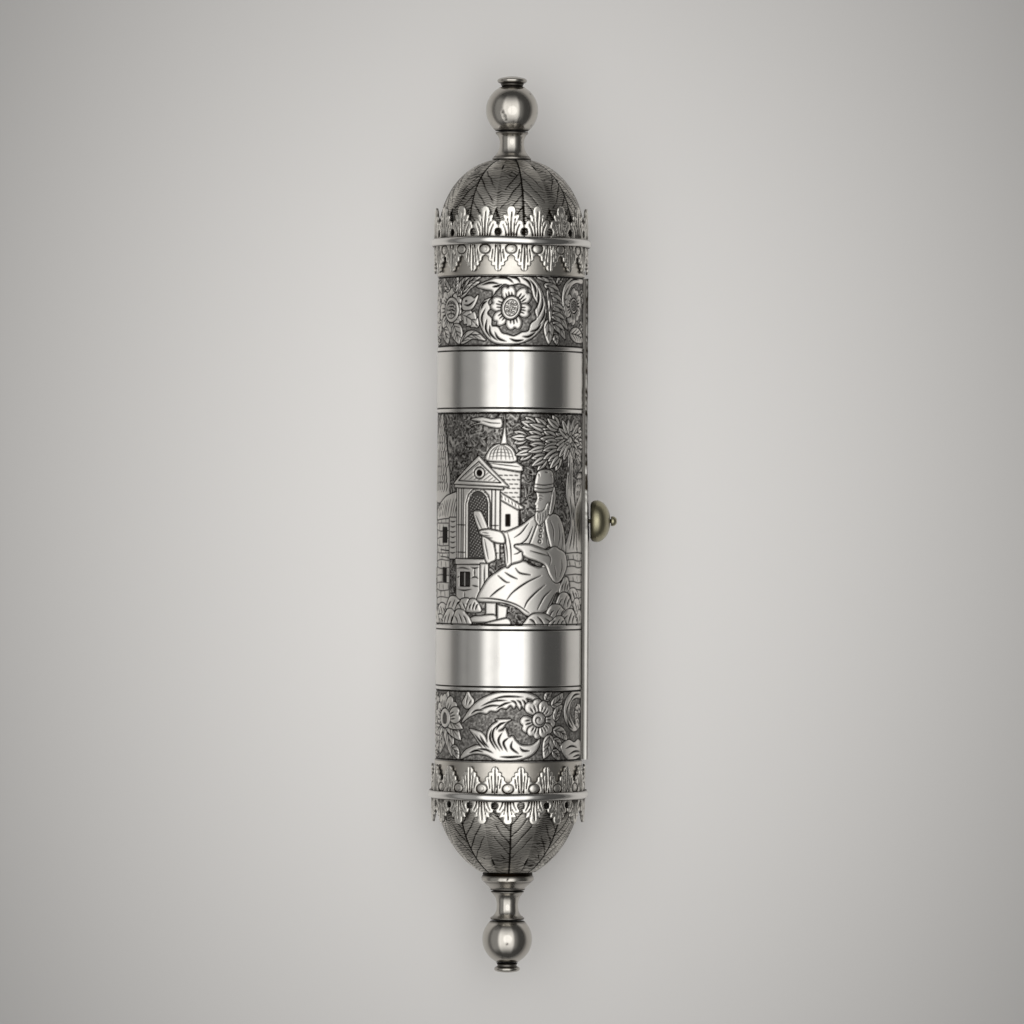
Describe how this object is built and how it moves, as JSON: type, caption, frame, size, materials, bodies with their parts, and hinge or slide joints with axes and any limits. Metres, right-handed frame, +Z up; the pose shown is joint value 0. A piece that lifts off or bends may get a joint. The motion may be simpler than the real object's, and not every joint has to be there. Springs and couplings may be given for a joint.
{
  "type": "cased esther scroll",
  "caption": "Empty round silver scroll case with relief bands, leaf crowns, domed ends, turned finials, a side slot with a pull bar and thumb knob, and a turning lower finial.",
  "frame": {"origin": "on the surface that the case lies on, under the middle of its overall box", "axes": "+Y along the case towards its upper, fixed finial; +X towards the thumb knob; +Z up"},
  "size_m": [0.0546, 0.2606, 0.0464],
  "materials": {
    "chased_silver": "chased silver relief on a dark matted ground, with plain polished bands",
    "engraved_silver": "raised silver engraved with large leaves, dark in the lines",
    "cast_silver_leaves": "cast and pierced silver leaves with brown patina in the hollows",
    "silver_wire": "drawn silver wire, worn bright on top",
    "turned_silver": "turned and polished silver with tarnish at the joints",
    "bar_silver": "flat silver strip, lightly worn",
    "knob_brass": "tarnished olive brass, brushed round its rim"
  },
  "bodies": {
    "case": {"case_tube": "chased_silver", "upper_dome": "engraved_silver", "lower_dome": "engraved_silver", "upper_gallery": "cast_silver_leaves", "lower_gallery": "cast_silver_leaves", "upper_ring": "silver_wire", "lower_ring": "silver_wire", "upper_neck": "turned_silver", "upper_ball": "turned_silver", "upper_button": "turned_silver", "pull_bar": "bar_silver", "thumb_knob": "knob_brass", "knob_stud": "knob_brass"},
    "winder": {"turning_collar": "turned_silver", "lower_neck": "turned_silver", "lower_ball": "turned_silver", "lower_button": "turned_silver"}
  },
  "joints": [
    {"name": "winder_turn", "type": "hinge", "parent": "case", "child": "winder", "pos_m": [-0.00387, -0.1012, 0.02303], "axis": [0, 1, 0], "continuous": true}
  ]
}
